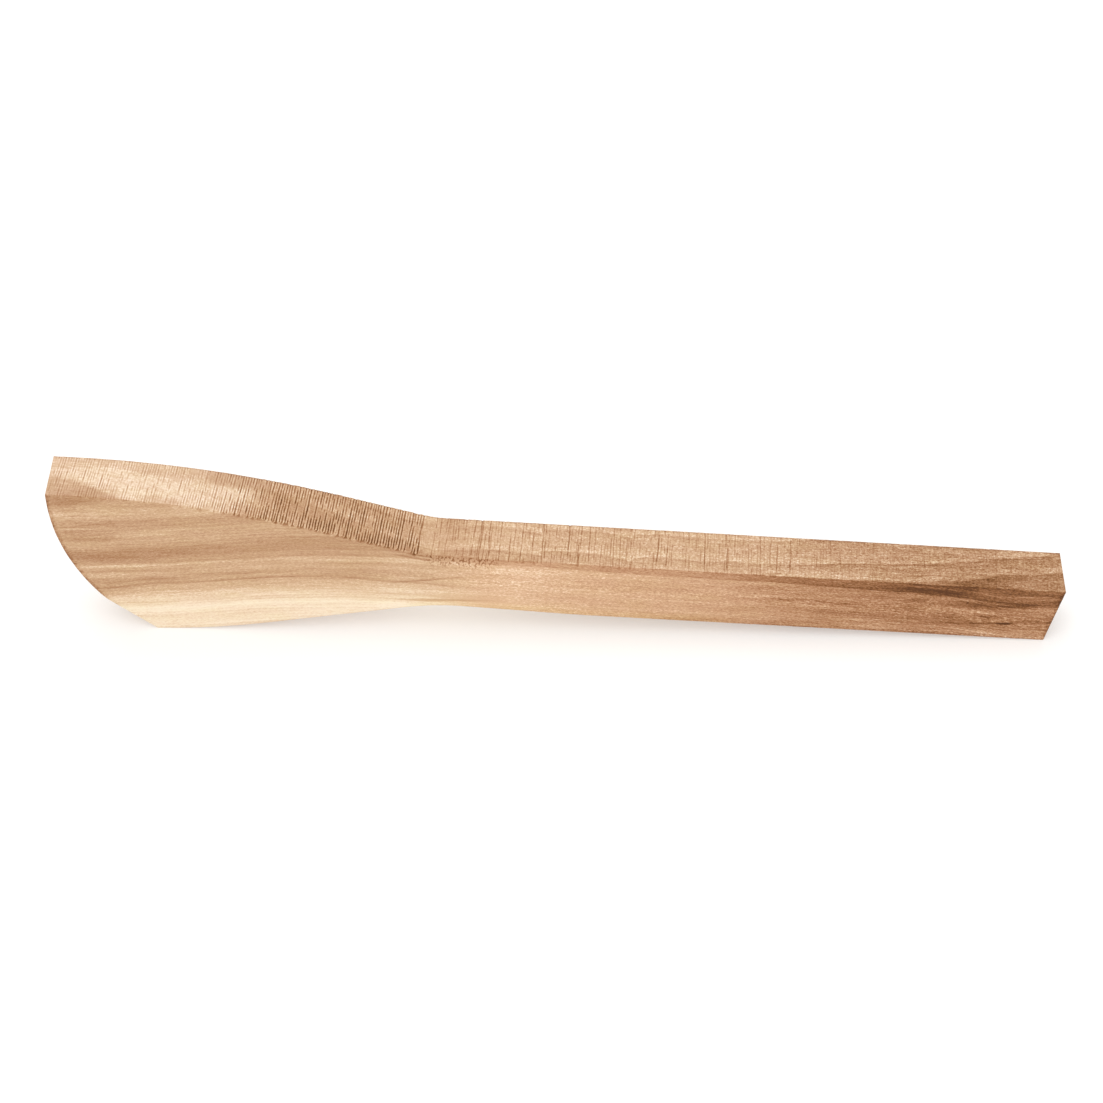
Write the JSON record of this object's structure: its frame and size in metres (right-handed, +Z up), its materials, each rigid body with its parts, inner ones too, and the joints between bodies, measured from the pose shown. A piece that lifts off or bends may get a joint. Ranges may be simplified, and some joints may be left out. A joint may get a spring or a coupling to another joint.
{
  "type": "clay modeling tool",
  "caption": "Wooden clay modeling tool sawn from one board, with a deep round-ended blade, a neck and a long straight handle, standing on its narrow edge.",
  "frame": {"origin": "on the resting surface, under the centre of the tool's length and of the board's thickness", "axes": "+X along the tool from the blade to the handle's end, +Y through the board's thickness away from the pictured broad face, +Z up from the resting surface"},
  "size_m": [0.25, 0.015, 0.0427],
  "materials": {
    "hardwood": "unfinished walnut-like hardwood, planed broad faces and bandsawn edges"
  },
  "bodies": {
    "root": {"tool_body": "hardwood"}
  },
  "joints": []
}
